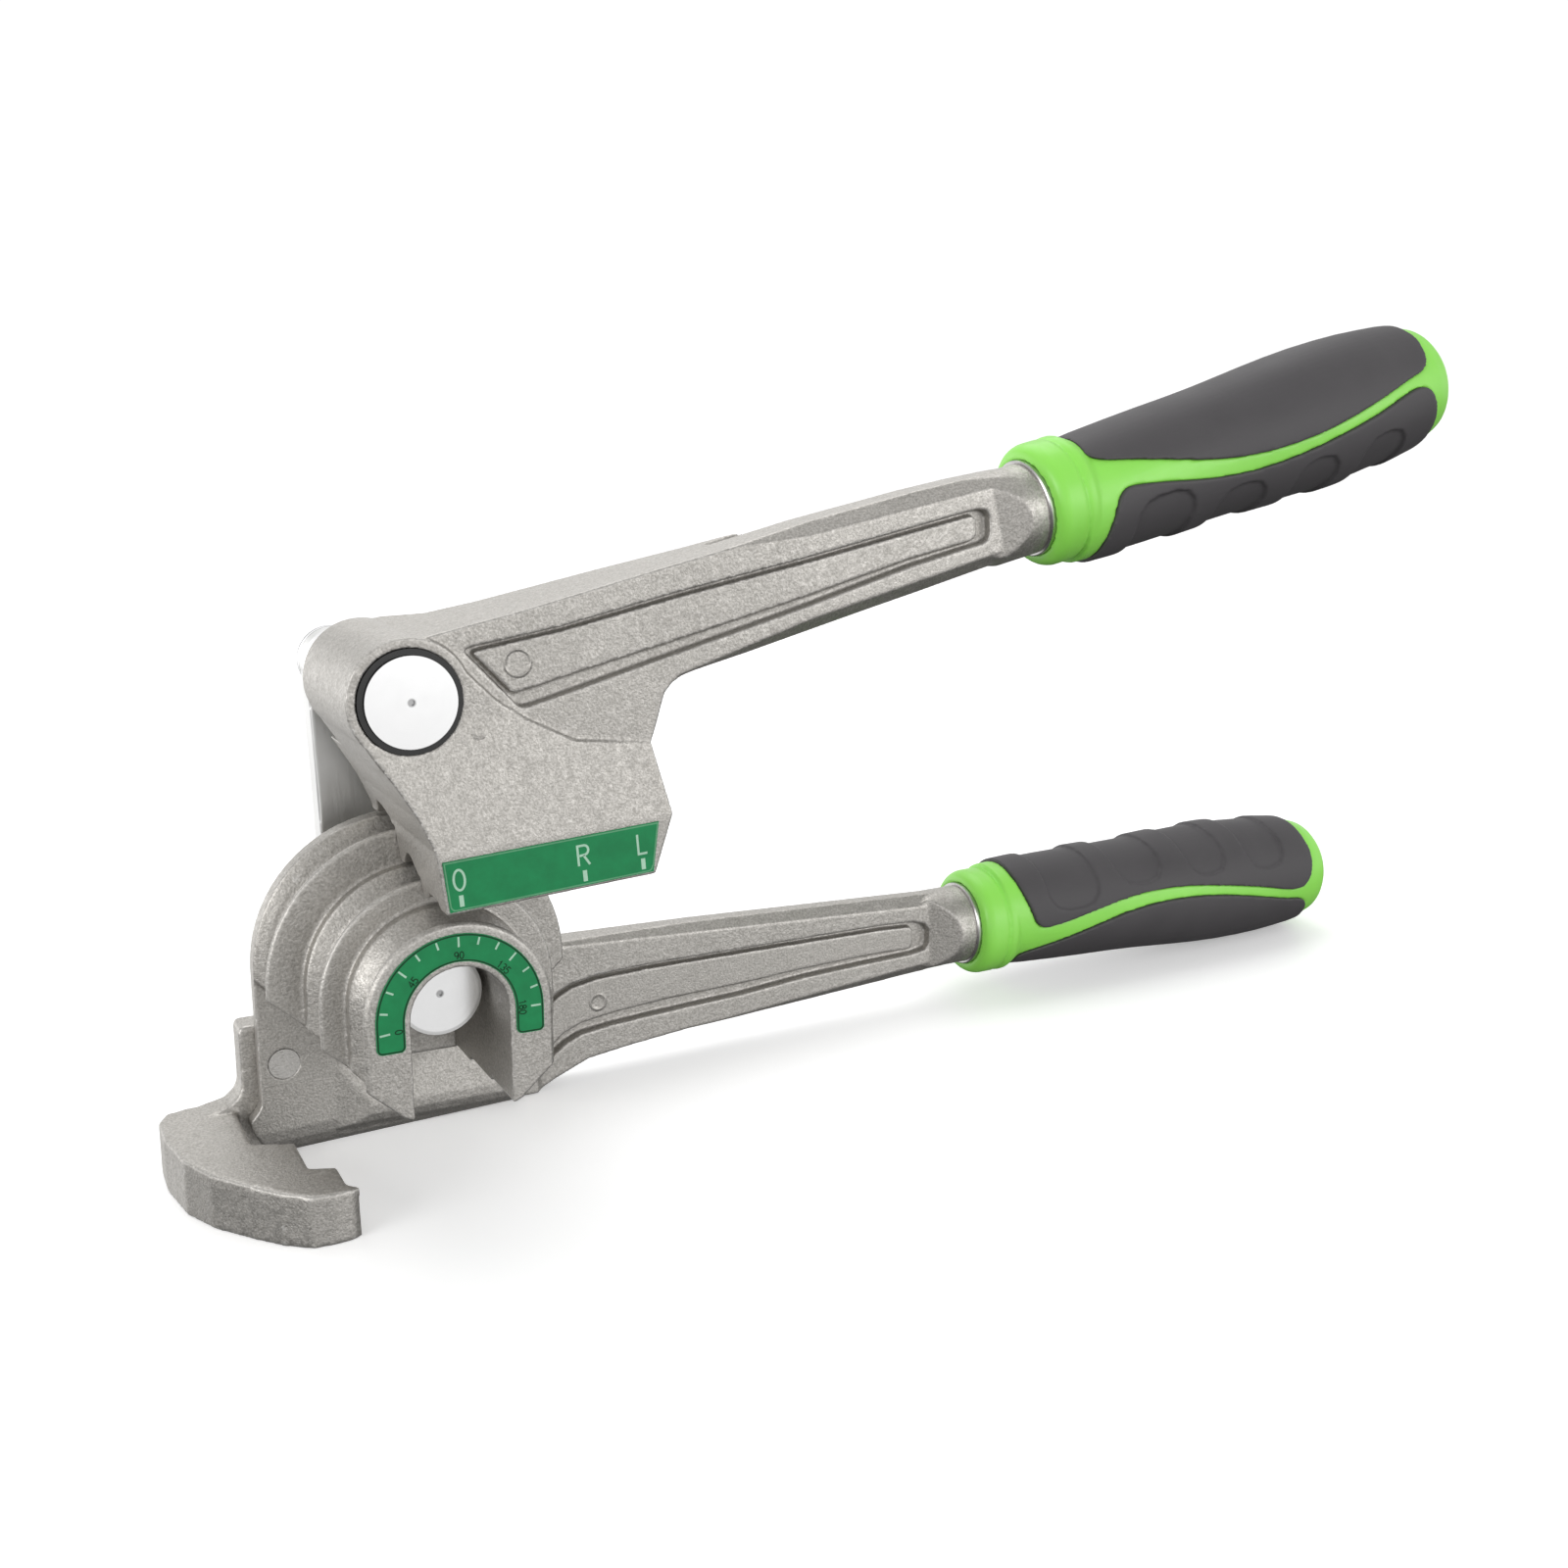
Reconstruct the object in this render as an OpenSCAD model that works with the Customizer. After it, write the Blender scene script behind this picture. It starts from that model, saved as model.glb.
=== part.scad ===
// Three-size lever tube bender, 180 degree pattern, millimetres.
// Local frame of the tool: the mandrel axis runs along Y through x = 0, z = 0,
// y = 0 is the front face of the mandrel, the lower handle points along +X.
// The whole tool is then leaned and lifted so that it stands on the floor z = 0.

/* [Tube sizes] */
// Outside diameter of the largest tube, in the rear groove
large_tube_d = 12; // [10:0.5:12.5]
// Outside diameter of the middle tube
middle_tube_d = 10; // [8:0.5:10.5]
// Outside diameter of the smallest tube, in the front groove
small_tube_d = 8; // [6:0.5:8.5]
// Clearance all round a tube in its groove
tube_clearance = 0.15; // [0.1:0.05:0.3]

/* [Mandrel] */
// Centre-line bend radius of the rear groove
large_bend_r = 32.5; // [32:0.25:33]
// Centre-line bend radius of the middle groove
middle_bend_r = 25; // [24.5:0.25:25.5]
// Centre-line bend radius of the front groove
small_bend_r = 20.5; // [20:0.25:21]
// How far the rim and the rear step reach past the rear groove's centre line
large_lip_over = 1.3; // [0.5:0.1:1.5]
// How far the middle step reaches past its groove's centre line
middle_lip_over = 0.8; // [0:0.1:1]
// How far the front step stays inside its groove's centre line
small_lip_under = 0.2; // [0:0.1:0.7]
// Depth of one groove step, front to back
step_depth = 16; // [15.5:0.1:16]
// Width of the thin front lip of each groove
front_lip = 1.2; // [0.8:0.1:1.6]
// Width of a groove's mouth in the two front steps
mouth_w = 12.2; // [11:0.1:12.4]
// Width of the rear groove's mouth
large_mouth_w = 14.4; // [13.4:0.1:14.6]
// Thickness of the back plate
plate_t = 4.2; // [3.6:0.1:4.4]
// Half width of the open slot around the pivot pin
slot_r = 10.6; // [10.4:0.1:11.4]
// Depth of the back plate's lower right corner below the axis
plate_drop = 42; // [40:0.1:42]
// Bevel on the front edge of the front step
lip_bevel = 0.8; // [0.3:0.1:1]
// Radius of the pivot boss inside the slot
pivot_boss_r = 8.6; // [7.6:0.1:9]

/* [Pivot pins] */
// Radius of both pivot pins
pin_r = 6; // [5:0.1:6.4]
// Running clearance between a pin and what turns on it
pin_clearance = 0.05; // [0.03:0.01:0.1]
// Head radius of the mandrel pin
mandrel_head_r = 9.3; // [8:0.1:9.4]
// Depth of that head's face behind the mandrel's front face
mandrel_head_y = 16; // [13:0.1:17]
// Head radius of the forming pin
forming_head_r = 9.4; // [9:0.1:9.5]
// Outer radius of the dark ring around the forming pin's head
ring_r = 10.7; // [10.5:0.1:10.9]
// Gap between flat faces that turn on each other
face_gap = 0.2; // [0.15:0.05:0.3]
// Distance of the forming pin to the left of the mandrel axis
pin_x = -7.7; // [-8:0.1:-7.4]
// Height of the forming pin above the mandrel axis
pin_z = 66.8; // [66.6:0.1:67.2]

/* [Link] */
// Thickness of the link
link_t = 7; // [5:0.5:8]
// Radius of the link's end at the mandrel
link_big_r = 13.8; // [12:0.1:14.4]
// Radius of the link's end at the forming handle
link_small_r = 8; // [7.8:0.1:9]

/* [Forming handle] */
// Radius of the boss around the forming pin
boss_r = 12.8; // [12.4:0.1:13.2]
// Depth of that boss
boss_depth = 41; // [38:0.5:42]
// Angle of the shoe against the lower handle
shoe_angle = 4.5; // [4:0.1:5]
// Length of the shoe
shoe_length = 47; // [44:0.5:48]
// How far the shoe's front wall stands ahead of the mandrel
shoe_front = 3; // [2:0.1:4]
// Space between the shoe's lands and the lips of the two rear steps
shoe_gap = 0.8; // [0.6:0.1:1]
// Distance of the shoe's front wall from the mandrel axis
shoe_front_r = 22.8; // [22.6:0.1:23.4]
// Thickness of the forming arm
arm_t = 14; // [12:0.5:15]
// Depth of the long panels in both arms
panel_depth = 2.6; // [1.5:0.1:3.2]
// Drop of the raised field inside the recess, below the arm's face
field_drop = 0.7; // [0.4:0.1:1.2]

/* [Hook] */
// Half width of the hook's upright tab around its pivot
hook_eye_r = 9; // [8:0.1:9.4]
// Radius of the hook's pivot pin
hook_pin_r = 3.5; // [3:0.1:4]
// Thickness of the hook's leg behind the plate
hook_leg_t = 8; // [7:0.1:8.2]
// Height of the hook's upper face below the mandrel axis
hook_top = 33.5; // [33:0.1:35]
// Height of the hook's foot under its top, at the point it stands on
hook_height = 11.89; // [11.6:0.01:13]

/* [Grips] */
// Length of a grip
grip_length = 125.4; // [122:0.2:128]
// Thickness of the soft pads
pad_t = 2.2; // [1.6:0.1:2.6]
// How far the coloured core stays below the pads in the strip between them
strip_drop = 0.8; // [0.3:0.1:1]
// Depth of the hollows for the fingers
dish_depth = 0.8; // [0.4:0.1:1.2]
// Radius of the collar
collar_r = 14.6; // [14:0.1:14.8]
// Radius of the round neck ahead of the collar
neck_r = 10.7; // [10:0.1:11]
// Angle of the upper grip against the lower handle
upper_angle = 13.5; // [13:0.1:14]
// Angle of the lower grip against the lower handle's arm
lower_angle = 1.5; // [1:0.1:2]

/* [Placing] */
// Lean of the tool that brings the hook and the lower grip to the floor
lean = 2.56; // [2.4:0.01:2.7]

/* [Hidden] */
$fn = 96;
e = 0.01;

// Outer radii of the three steps
large_lip_r = large_bend_r + large_lip_over;
middle_lip_r = middle_bend_r + middle_lip_over;
small_lip_r = small_bend_r - small_lip_under;

// Height of the mandrel axis above the floor, from the hook that it stands on
foot_x = -40;
axis_height = (hook_top + hook_height) * cos(lean) + foot_x * sin(lean);

// Where the tool's frame lies in the frame of the floor
shift_x = -112.963;
shift_y = -30.15;

// Tang inside a grip
tang_r = 7.5;
tang_end = 100;
ferrule_t = 0.7;

// Depths, front to back
y_wall_1 = step_depth;
y_wall_2 = 2 * step_depth;
y_plate = 3 * step_depth;
y_plate_back = y_plate + plate_t;
y_hub = y_plate_back + 9.6;
y_link = y_hub + face_gap;
y_link_back = y_link + link_t;
y_arm = y_plate_back + 0.4;
y_arm_back = y_hub - 0.2;
lower_y = 57.3;
upper_y = 3;
hook_x = -28.2;
hook_z = -22.3;
y_hook = y_plate_back + face_gap;

// Inner and outer radius of the green arc and the drop of its feet
scale_in = slot_r + 1.3;
scale_out = small_lip_r - 2.4;
scale_foot = 5.8;
// Top of the green film on the shoe above the shoe's lower edge
scale_h = 11.4;

// Groove centres
small_y = front_lip + mouth_w / 2;
middle_y = y_wall_1 + front_lip + mouth_w / 2;
large_y = y_wall_2 + front_lip + large_mouth_w / 2;

// Starting points of the two grips
upper_start = [140.2, upper_y, 101.4];
lower_start = [159.2, lower_y, -16.3];

module placed() translate([shift_x, shift_y, axis_height]) rotate([0, lean, 0]) children();

// An outline drawn in X and Z, extruded from depth y0 to depth y1
module slab(y0, y1) translate([0, y1, 0]) rotate([90, 0, 0]) linear_extrude(y1 - y0) children();

module rod(x, z, r, y0, y1) slab(y0, y1) translate([x, z]) circle(r);

module tube(x, z, r, bore, y0, y1) slab(y0, y1) translate([x, z]) difference() {
    circle(r);
    circle(bore);
}

// Chamfer of size s along the edge from p to q at depth y
module edge_cut(p, q, y, s) {
    run = norm(q - p);
    rise = atan2(q[1] - p[1], q[0] - p[0]);
    translate([p[0], y, p[1]])
        rotate([0, -rise, 0])
        rotate([45, 0, 0])
        translate([-3, -s / sqrt(2), -s / sqrt(2)])
        cube([run + 6, s * sqrt(2), s * sqrt(2)]);
}

// Groove section: a round seat for the tube with a flared mouth
module groove_section(bend_r, tube_d, lip_r, y, mouth) {
    t = tube_d / 2 + tube_clearance;
    start = lip_r - 2.5;
    half = sqrt(t * t - (start - bend_r) * (start - bend_r));
    translate([bend_r, y]) circle(t);
    polygon([[start, y - half], [lip_r, y - mouth / 2], [lip_r + 9, y - mouth / 2],
        [lip_r + 9, y + mouth / 2], [lip_r, y + mouth / 2], [start, y + half]]);
}

module groove_cut(bend_r, tube_d, lip_r, y, mouth) {
    rotate([-90, 0, 0]) rotate([0, 0, 180]) rotate_extrude(angle = 180)
        groove_section(bend_r, tube_d, lip_r, y, mouth);
    for (side = [0, 1])
        mirror([side, 0, 0])
            translate([0, 0, -46])
            linear_extrude(46 + e)
            groove_section(bend_r, tube_d, lip_r, y, mouth);
}

// Bevel of width s on the front edge of the step of radius r that starts at depth y
module lip_cut(r, y, s) {
    profile = [[r - s - 0.3, y - 0.3], [r + 1, y - 0.3], [r + 1, y + s + 1]];
    rotate([-90, 0, 0]) rotate([0, 0, 180]) rotate_extrude(angle = 180) polygon(profile);
    for (side = [0, 1])
        mirror([side, 0, 0]) translate([0, 0, -46]) linear_extrude(46 + e) polygon(profile);
}

// Half round on top, straight sides, lower corners cut at an angle down to the tips of the legs
module step_outline(r, tip) intersection() {
    union() {
        circle(r);
        translate([-r, -40]) square([2 * r, 40]);
    }
    polygon([[-large_lip_r - 2, 40], [-large_lip_r - 2, 0.3], [-15.4, -18], [-12.5, -20.6], [-11.5, -tip + 0.2],
        [-10, -tip], [10, -tip], [11.5, -tip + 0.2], [12.5, -20.6], [15.4, -18], [large_lip_r + 2, 0.3],
        [large_lip_r + 2, 40]]);
}

// A point of the plate's lower edge, which runs level with the floor
function plate_foot(x) = [x, -plate_drop - (29 - x) * tan(lean)];

module plate_outline() {
    circle(large_lip_r);
    polygon([[-large_lip_r, 0], [-large_lip_r, -31.6], [-34.6, -33.2], [-36.4, -35.2], [-36.2, -37.2],
        [-34.9, -40], [-32.8, -43], plate_foot(-31), plate_foot(29), [33, -8], [large_lip_r, 0]]);
}

// Space in front of and below the plate's rounded lower edge
module plate_underside() translate([29, 0, -plate_drop]) rotate([0, -lean, 0]) translate([-80, 0, 0])
    rotate([90, 0, 90]) linear_extrude(90)
    polygon([[y_plate - 5, 6.4], [y_plate, 6.4], [y_plate + 0.5, 3.6], [y_plate + 1.3, 1.6],
        [y_plate + 2.3, 0.4], [y_plate + 3.4, -0.2], [y_plate + 3.4, -6], [y_plate - 5, -6]]);

// Web below the slot, a little proud of the plate
module slot_web() intersection() {
    translate([0, 0, -60]) linear_extrude(60)
        polygon([[-17, y_plate + 1], [-17, y_plate], [-9, y_plate - 1.4], [27, y_plate - 1.4], [27, y_plate + 1]]);
    rotate([90, 0, 90]) translate([0, 0, -30]) linear_extrude(60)
        polygon([[y_plate + 2, -23], [y_plate, -24.2], [y_plate - 1.4, -35.4], [y_plate - 1.3, -37.6],
            [y_plate - 0.6, -39.6], [y_plate + 0.6, -40.8], [y_plate + 2, -41.2]]);
}

module lower_arm_outline() polygon([[-13, 4], [-6, 12], [10, 12], [40, -4.3], [76, -4.2], [134, -5.5],
    [153.6, -6], [154.2, -27.2], [132, -28.8], [102, -30.6], [74, -32.2], [58, -34],
    [47, -35.6], [38, -39.4], [33, -plate_drop], [8, -plate_drop], [-10, -14]]);

// The lower arm seen from above: flat from the plate to the neck
module lower_arm_plan() polygon([[-20, y_plate_back - 0.5], [33, y_plate_back - 0.5], [34.4, y_arm],
    [155, y_arm], [155, y_arm_back], [-20, y_arm_back]]);

// Trims the square end of an arm down to the round neck
module arm_end_trim() rotate([0, 90, 0]) rotate_extrude()
    polygon([[neck_r, -4.6], [12.4, -21], [17, -40], [30, -40], [30, 3], [neck_r, 3]]);

module lower_panel_outline() polygon([[34.5, -22.4], [36.6, -19.2], [39, -17.2], [42.5, -15.5], [49.8, -14.1],
    [63, -13.3], [90, -12.9], [131.5, -12.3], [141.4, -12.6], [145.1, -13.6], [146.4, -15.4], [146.4, -19.4],
    [145.4, -20.9], [141.5, -21.6], [125.5, -22.3], [107.7, -23.4], [89.9, -25.2], [67.2, -26.6], [53.9, -27.6],
    [45.1, -28.8], [40.7, -30.8], [36.4, -34.2], [34.5, -36]]);

module lower_field_outline() polygon([[30, -24], [36.8, -20.6], [39.6, -18.3], [43.1, -16.6], [50, -15.2],
    [63.2, -14.5], [90.2, -14.1], [131.9, -13.7], [140.6, -14], [141.6, -15], [141.6, -19.2], [140.8, -20.2],
    [125.9, -20.4], [108, -21.2], [90.2, -22.5], [67.5, -23.6], [54.1, -24.8], [45.4, -26.2], [40.6, -28.2],
    [36.4, -32], [34, -34], [30, -35]]);

module upper_arm_outline() polygon([[-14, 77.2], [-4, 79.4], [14, 83.2], [58, 94.2], [80, 100], [107, 105.9],
    [125, 109.3], [134, 111.2], [138.8, 91.5], [130.4, 89.4], [119.8, 86.6], [109.4, 83.8], [94.2, 79.9],
    [79.6, 76], [65.3, 72.2], [56.6, 70.1], [53.4, 69.3], [50.8, 68.4], [48.3, 67.1], [46.6, 65],
    [44.4, 57.7], [43.1, 54], [20, 54], [-4, 56], [-12, 58]]);

// The upper arm seen from above: as deep as the boss at its root, then a flat bar
module upper_arm_plan() polygon([[-14, 0.8], [10, 0.8], [26, -0.1], [44, -1], [80, upper_y - arm_t / 2],
    [139, upper_y - arm_t / 2], [139, upper_y + arm_t / 2], [76, upper_y + arm_t / 2],
    [40, 21], [20, 26], [4, 30], [-3, boss_depth], [-14, boss_depth]]);

// Space in front of the upper arm's face set back by d, seen from above
module upper_face_plan(d) polygon([[-20, -12], [-20, 0.8 + d], [10, 0.8 + d], [26, d - 0.1], [44, d - 1],
    [80, upper_y - arm_t / 2 + d], [140, upper_y - arm_t / 2 + d], [140, -12]]);

module upper_panel_outline() polygon([[4.1, 75.8], [4.4, 76.5], [5.2, 76.8], [13.4, 78.2], [24.3, 80.1],
    [50.9, 86.4], [98.1, 96.6], [122.2, 101.8], [124.6, 101.5], [125.6, 100.3], [125.9, 96.3], [125.3, 94.9],
    [124.1, 94.2], [105.1, 89.6], [48.7, 73], [25.4, 66.3], [17.1, 64], [15.4, 63.9], [14.4, 64.6]]);

// Raised field inside the recess, a little lower than the arm's face
module upper_field_outline() polygon([[6, 75.3], [6.6, 75.9], [13.6, 77.2], [24.5, 79.1], [51.2, 85.3],
    [98.3, 95.5], [121.2, 100.4], [122.4, 99.6], [122.6, 95.9], [121.4, 94.8], [105.4, 91.3], [49, 75.8],
    [28.4, 70.5], [18.7, 67.9], [14.6, 66.9], [13.6, 67.2]]);

// Front of the boss and the upper end of the shoe, proud of the arm's face
module crease_outline() polygon([[44.3, 53.2], [38, 53.7], [30.8, 55.1], [25.8, 56.4], [20.2, 58.9], [14, 62.4],
    [10, 65.8], [5.1, 70.8], [1.2, 75], [-0.7, 76.8], [-3, 78.3], [-7.7, 79], [-17.4, 58.6], [-14, 53], [20, 50]]);

// Shoe seen from the front, below the crease that parts it from the arm
module shoe_outline() {
    polygon(concat([[2.2, 71.5], [-17.4, 58.6], [-14.9, 54.6], [-12, 50.4], [-7.6, 43], [-4.6, 36]],
        [shoe_point(-1, shoe_front_r), shoe_point(shoe_length - 2, shoe_front_r)],
        [[47.3, 39], [43.3, 54.4], [26.6, 56.2], [16.2, 61.5], [8, 67.4]]));
}

// A point given along the shoe and away from the mandrel axis
function shoe_point(a, b) = [a * cos(shoe_angle) - b * sin(shoe_angle),
    a * sin(shoe_angle) + b * cos(shoe_angle)];

module shoe_frame() rotate([0, -shoe_angle, 0]) children();

module shoe_groove(bend_r, tube_d, y, flare, land_r) shoe_frame() {
    t = tube_d / 2 + tube_clearance;
    translate([-20, y, bend_r]) rotate([0, 90, 0]) cylinder(r = t, h = 90);
    translate([-20, 0, 0]) rotate([90, 0, 90]) linear_extrude(90)
        polygon([[y - t - flare, land_r - e], [y - t + 0.6, land_r + 1.6],
            [y + t - 0.6, land_r + 1.6], [y + t + flare, land_r - e]]);
}

// Distance of the pads' surface from the grip's own axis, along the grip
grip_profile = [[8, 14.7], [18, 15.4], [28, 15.8], [38, 16.1], [48, 16.3], [56, 16.6], [63, 17],
    [71, 17.5], [79, 17.9], [87, 18.1], [95, 18], [102, 17.7], [108, 17.2], [114, 16.6], [118.4, 15.9],
    [121.4, 15], [123.6, 13.4], [124.9, 11.2], [125.4, 8.6]];
stretch = grip_length / 125.4;

function lowered(d) = [for (p = grip_profile) [max(p[1] - d, 1), (p[0] - (p[1] < 14 ? d / 2 : 0)) * stretch]];

// A smooth outline through a few points
function curve(p, n) = [for (i = [0:len(p) - 2]) for (k = [0:n - 1]) let(
    a = p[max(i - 1, 0)], b = p[i], c = p[i + 1], d = p[min(i + 2, len(p) - 1)], t = k / n)
    0.5 * (2 * b + t * (c - a) + t * t * (2 * a - 5 * b + 4 * c - d) + t * t * t * (3 * b - a - 3 * c + d))];

// Grip frame: X along the grip from the collar's front face, +Z to the palm side
module grip_body(d) translate([0, 0, -1.9]) rotate([0, -1.4, 0]) rotate([0, 90, 0]) rotate_extrude()
    polygon(concat([[0, 8 * stretch]], lowered(d), [[0, lowered(d)[len(grip_profile) - 1][1]]]));

palm_edge = [[10.6, 13.6], [11.6, 10.4], [13.9, 8.4], [18, 7.2], [25, 5.6], [34, 3.3], [46, 0.4], [60, -1.2],
    [74, -0.8], [86, 0.9], [97, 3.2], [106, 5.2], [111.6, 6.2], [114.4, 8.2], [115.8, 11.4], [116.8, 15]];
finger_edge = [[12.2, -14], [13.2, -9.6], [14.5, -5.6], [15.7, -2.2], [17.4, -0.1], [20.4, 0.6], [30, -0.9],
    [42, -3.3], [56, -4.8], [70, -4.3], [82, -2.7], [94, -0.6], [104.5, 1.9], [110, 2.5], [113.4, 1],
    [115.6, -3.4], [116.2, -8], [115.7, -13]];

module side_prism(points) translate([0, 30, 0]) rotate([90, 0, 0]) linear_extrude(60)
    scale([stretch, 1]) polygon(points);
module palm_side() side_prism(concat(curve(palm_edge, 2), [[117.4, 26], [10, 26]]));
module finger_side() side_prism(concat(curve(finger_edge, 2), [[115.6, -26], [12, -26]]));

module collar_shape() rotate([0, 90, 0]) rotate_extrude() polygon([[0, 0], [collar_r - 2.6, 0],
    [collar_r - 1.2, 0.6], [collar_r - 0.4, 1.6], [collar_r, 2.8], [collar_r, 7], [collar_r - 0.5, 7.4],
    [collar_r - 0.5, 7.9], [collar_r, 8.3], [collar_r + 0.1, 10], [12.6, 14], [0, 14]]);

module grip_core_shape() difference() {
    union() {
        grip_body(pad_t);
        difference() {
            grip_body(strip_drop);
            palm_side();
            finger_side();
        }
        collar_shape();
    }
    translate([-1, 0, 0]) rotate([0, 90, 0]) cylinder(r = tang_r, h = tang_end + 2);
    translate([-1, 0, 0]) rotate([0, 90, 0]) cylinder(r = neck_r + ferrule_t, h = 6);
}

module palm_pad_shape() difference() {
    intersection() {
        grip_body(0);
        palm_side();
    }
    grip_body(pad_t);
    collar_shape();
}

module finger_pad_shape() difference() {
    intersection() {
        grip_body(0);
        finger_side();
    }
    grip_body(pad_t);
    collar_shape();
    for (i = [0:3]) difference() {
        side_prism(finger_dish(i));
        grip_body(dish_depth);
    }
}

// Outline of a finger's hollow in the side view: from the collar's side, to the end's side, and its foot
dish_from = [20.5, 44.6, 68.8, 90.2];
dish_to = [38, 60.8, 83.2, 105.6];
dish_foot = [-3.4, -7.2, -6.6, -5.6];
function finger_dish(i) = let(a = dish_from[i], b = dish_to[i], f = dish_foot[i]) [[a, -26], [a, f - 6],
    [a + 0.8, f - 3.2], [a + 3, f - 0.8], [a + 6.4, f], [b - 6.4, f], [b - 3, f - 0.8], [b - 0.8, f - 3.2],
    [b, f - 6], [b - 0.4, -15.6], [b - 1.4, -19], [b - 1.4, -26]];

module ferrule_shape() rotate([0, 90, 0]) rotate_extrude()
    polygon([[neck_r, -1], [neck_r + ferrule_t - 0.3, -1], [neck_r + ferrule_t, -0.7],
        [neck_r + ferrule_t, 5], [neck_r, 5]]);

// Tang that carries a grip, with the round neck in front of it. The neck runs into the flat bar
// on a ramp at each side, the bar's faces lying at front and back from the neck's axis
module neck_shape(front, back) {
    difference() {
        rotate([0, 90, 0]) rotate_extrude()
            polygon([[0, -38], [3, -38], [neck_r, -12], [neck_r, 5], [0, 5]]);
        for (side = [[-1, front], [1, back]])
            translate([0, 0, -20])
            linear_extrude(40)
            polygon([[-44, side[0] * 20], [ramp_end, side[0] * 20], [ramp_end, side[0] * neck_r],
                [ramp_start, side[0] * (side[1] - 0.3)], [-44, side[0] * (side[1] - 0.3)]]);
    }
    rotate([0, 90, 0]) cylinder(r = tang_r, h = tang_end);
}
ramp_start = -13;
ramp_end = -5.6;

module at_upper_grip() translate(upper_start) rotate([0, -upper_angle, 0]) children();
module at_lower_grip() translate(lower_start) rotate([0, -lower_angle, 0]) mirror([0, 0, 1]) children();

module mandrel_body() color("silver") placed() difference() {
    union() {
        difference() {
            union() {
                slab(0, y_wall_1 + e) step_outline(small_lip_r, 21.2);
                slab(y_wall_1, y_wall_2 + e) step_outline(middle_lip_r, 22);
                slab(y_wall_2, y_plate + e) step_outline(large_lip_r, 22.8);
            }
            lip_cut(small_lip_r, 0, lip_bevel);
            lip_cut(middle_lip_r, y_wall_1, lip_bevel / 2);
            lip_cut(large_lip_r, y_wall_2, lip_bevel / 2);
            groove_cut(small_bend_r, small_tube_d, small_lip_r, small_y, mouth_w);
            groove_cut(middle_bend_r, middle_tube_d, middle_lip_r, middle_y, mouth_w);
            groove_cut(large_bend_r, large_tube_d, large_lip_r, large_y, large_mouth_w);
            slab(-1, y_plate + e) {
                circle(slot_r);
                translate([-slot_r, -60]) square([2 * slot_r, 60]);
            }
        }
        difference() {
            slab(y_plate, y_plate_back) plate_outline();
            plate_underside();
        }
        rod(0, 0, pivot_boss_r, mandrel_head_y + 4, y_plate + e);
        slab(y_plate - 4, y_plate + e) translate([-slot_r - 1.4, -23.4]) square([2 * slot_r + 2.8, 20]);
        slot_web();
        rod(0, 0, 13.6, y_plate, y_hub);
        difference() {
            union() {
                difference() {
                    intersection() {
                        slab(40, 80) lower_arm_outline();
                        translate([0, 0, -60]) linear_extrude(100) lower_arm_plan();
                    }
                    edge_cut([36, -2.6], [154, -6.1], y_arm - 0.3, 3);
                    edge_cut([60, -36.4], [154, -26.8], y_arm - 0.3, 3);
                    edge_cut([36, -2.6], [154, -6.1], y_arm_back + 0.3, 3);
                    edge_cut([60, -36.4], [154, -26.8], y_arm_back + 0.3, 3);
                    at_lower_grip() arm_end_trim();
                }
                at_lower_grip() neck_shape(lower_y - y_arm, y_arm_back - lower_y);
            }
            slab(y_arm - 4, y_arm + field_drop) lower_panel_outline();
            slab(y_arm_back - field_drop, y_arm_back + 5) lower_panel_outline();
            for (y = [y_arm - 4, y_arm_back - panel_depth]) slab(y, y + 4 + panel_depth) difference() {
                lower_panel_outline();
                lower_field_outline();
            }
        }
    }
    rod(0, 0, pin_r, -1, y_hub + 1);
    rod(0, 0, mandrel_head_r + 0.3, -1, mandrel_head_y + 4);
    rod(hook_x, hook_z, hook_pin_r, y_plate - 1, y_plate_back + 1);
}

// Arc with straight feet whose corners are rounded
module angle_scale() color("seagreen") placed() slab(-0.35, 0) {
    difference() {
        circle(scale_out);
        circle(scale_in);
        translate([-20, -40 - e]) square([40, 40]);
    }
    for (side = [0, 1]) mirror([side, 0]) {
        translate([scale_in, -scale_foot + 1.2]) square([scale_out - scale_in, scale_foot - 1.2]);
        translate([scale_in + 1.2, -scale_foot]) square([scale_out - scale_in - 2.4, 2]);
        for (x = [scale_in + 1.2, scale_out - 1.2]) translate([x, -scale_foot + 1.2]) circle(1.2);
    }
}

// Hook seen from above: a plate that reaches forward past the three tubes
module hook_plan() polygon([[-22.6, 0.6], [-24.2, -0.6], [-28, -1], [-33, -0.2], [-38, 4.2], [-43, 10.6],
    [-49.4, 19.8], [-53.6, 29.6], [-55.8, 44], [-55.6, 54], [-53.4, 58.4], [-49, 60], [-24.5, 60.2],
    [-24.5, y_hook], [-hook_reach(large_bend_r, large_tube_d), y_hook],
    [-hook_reach(large_bend_r, large_tube_d), 32.4],
    [-hook_reach(middle_bend_r, middle_tube_d), 29],
    [-hook_reach(middle_bend_r, middle_tube_d), 14.4],
    [-hook_reach(small_bend_r, small_tube_d), 12],
    [-hook_reach(small_bend_r, small_tube_d), 3]]);

function hook_reach(bend_r, tube_d) = bend_r + tube_d / 2 + 0.3;

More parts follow.
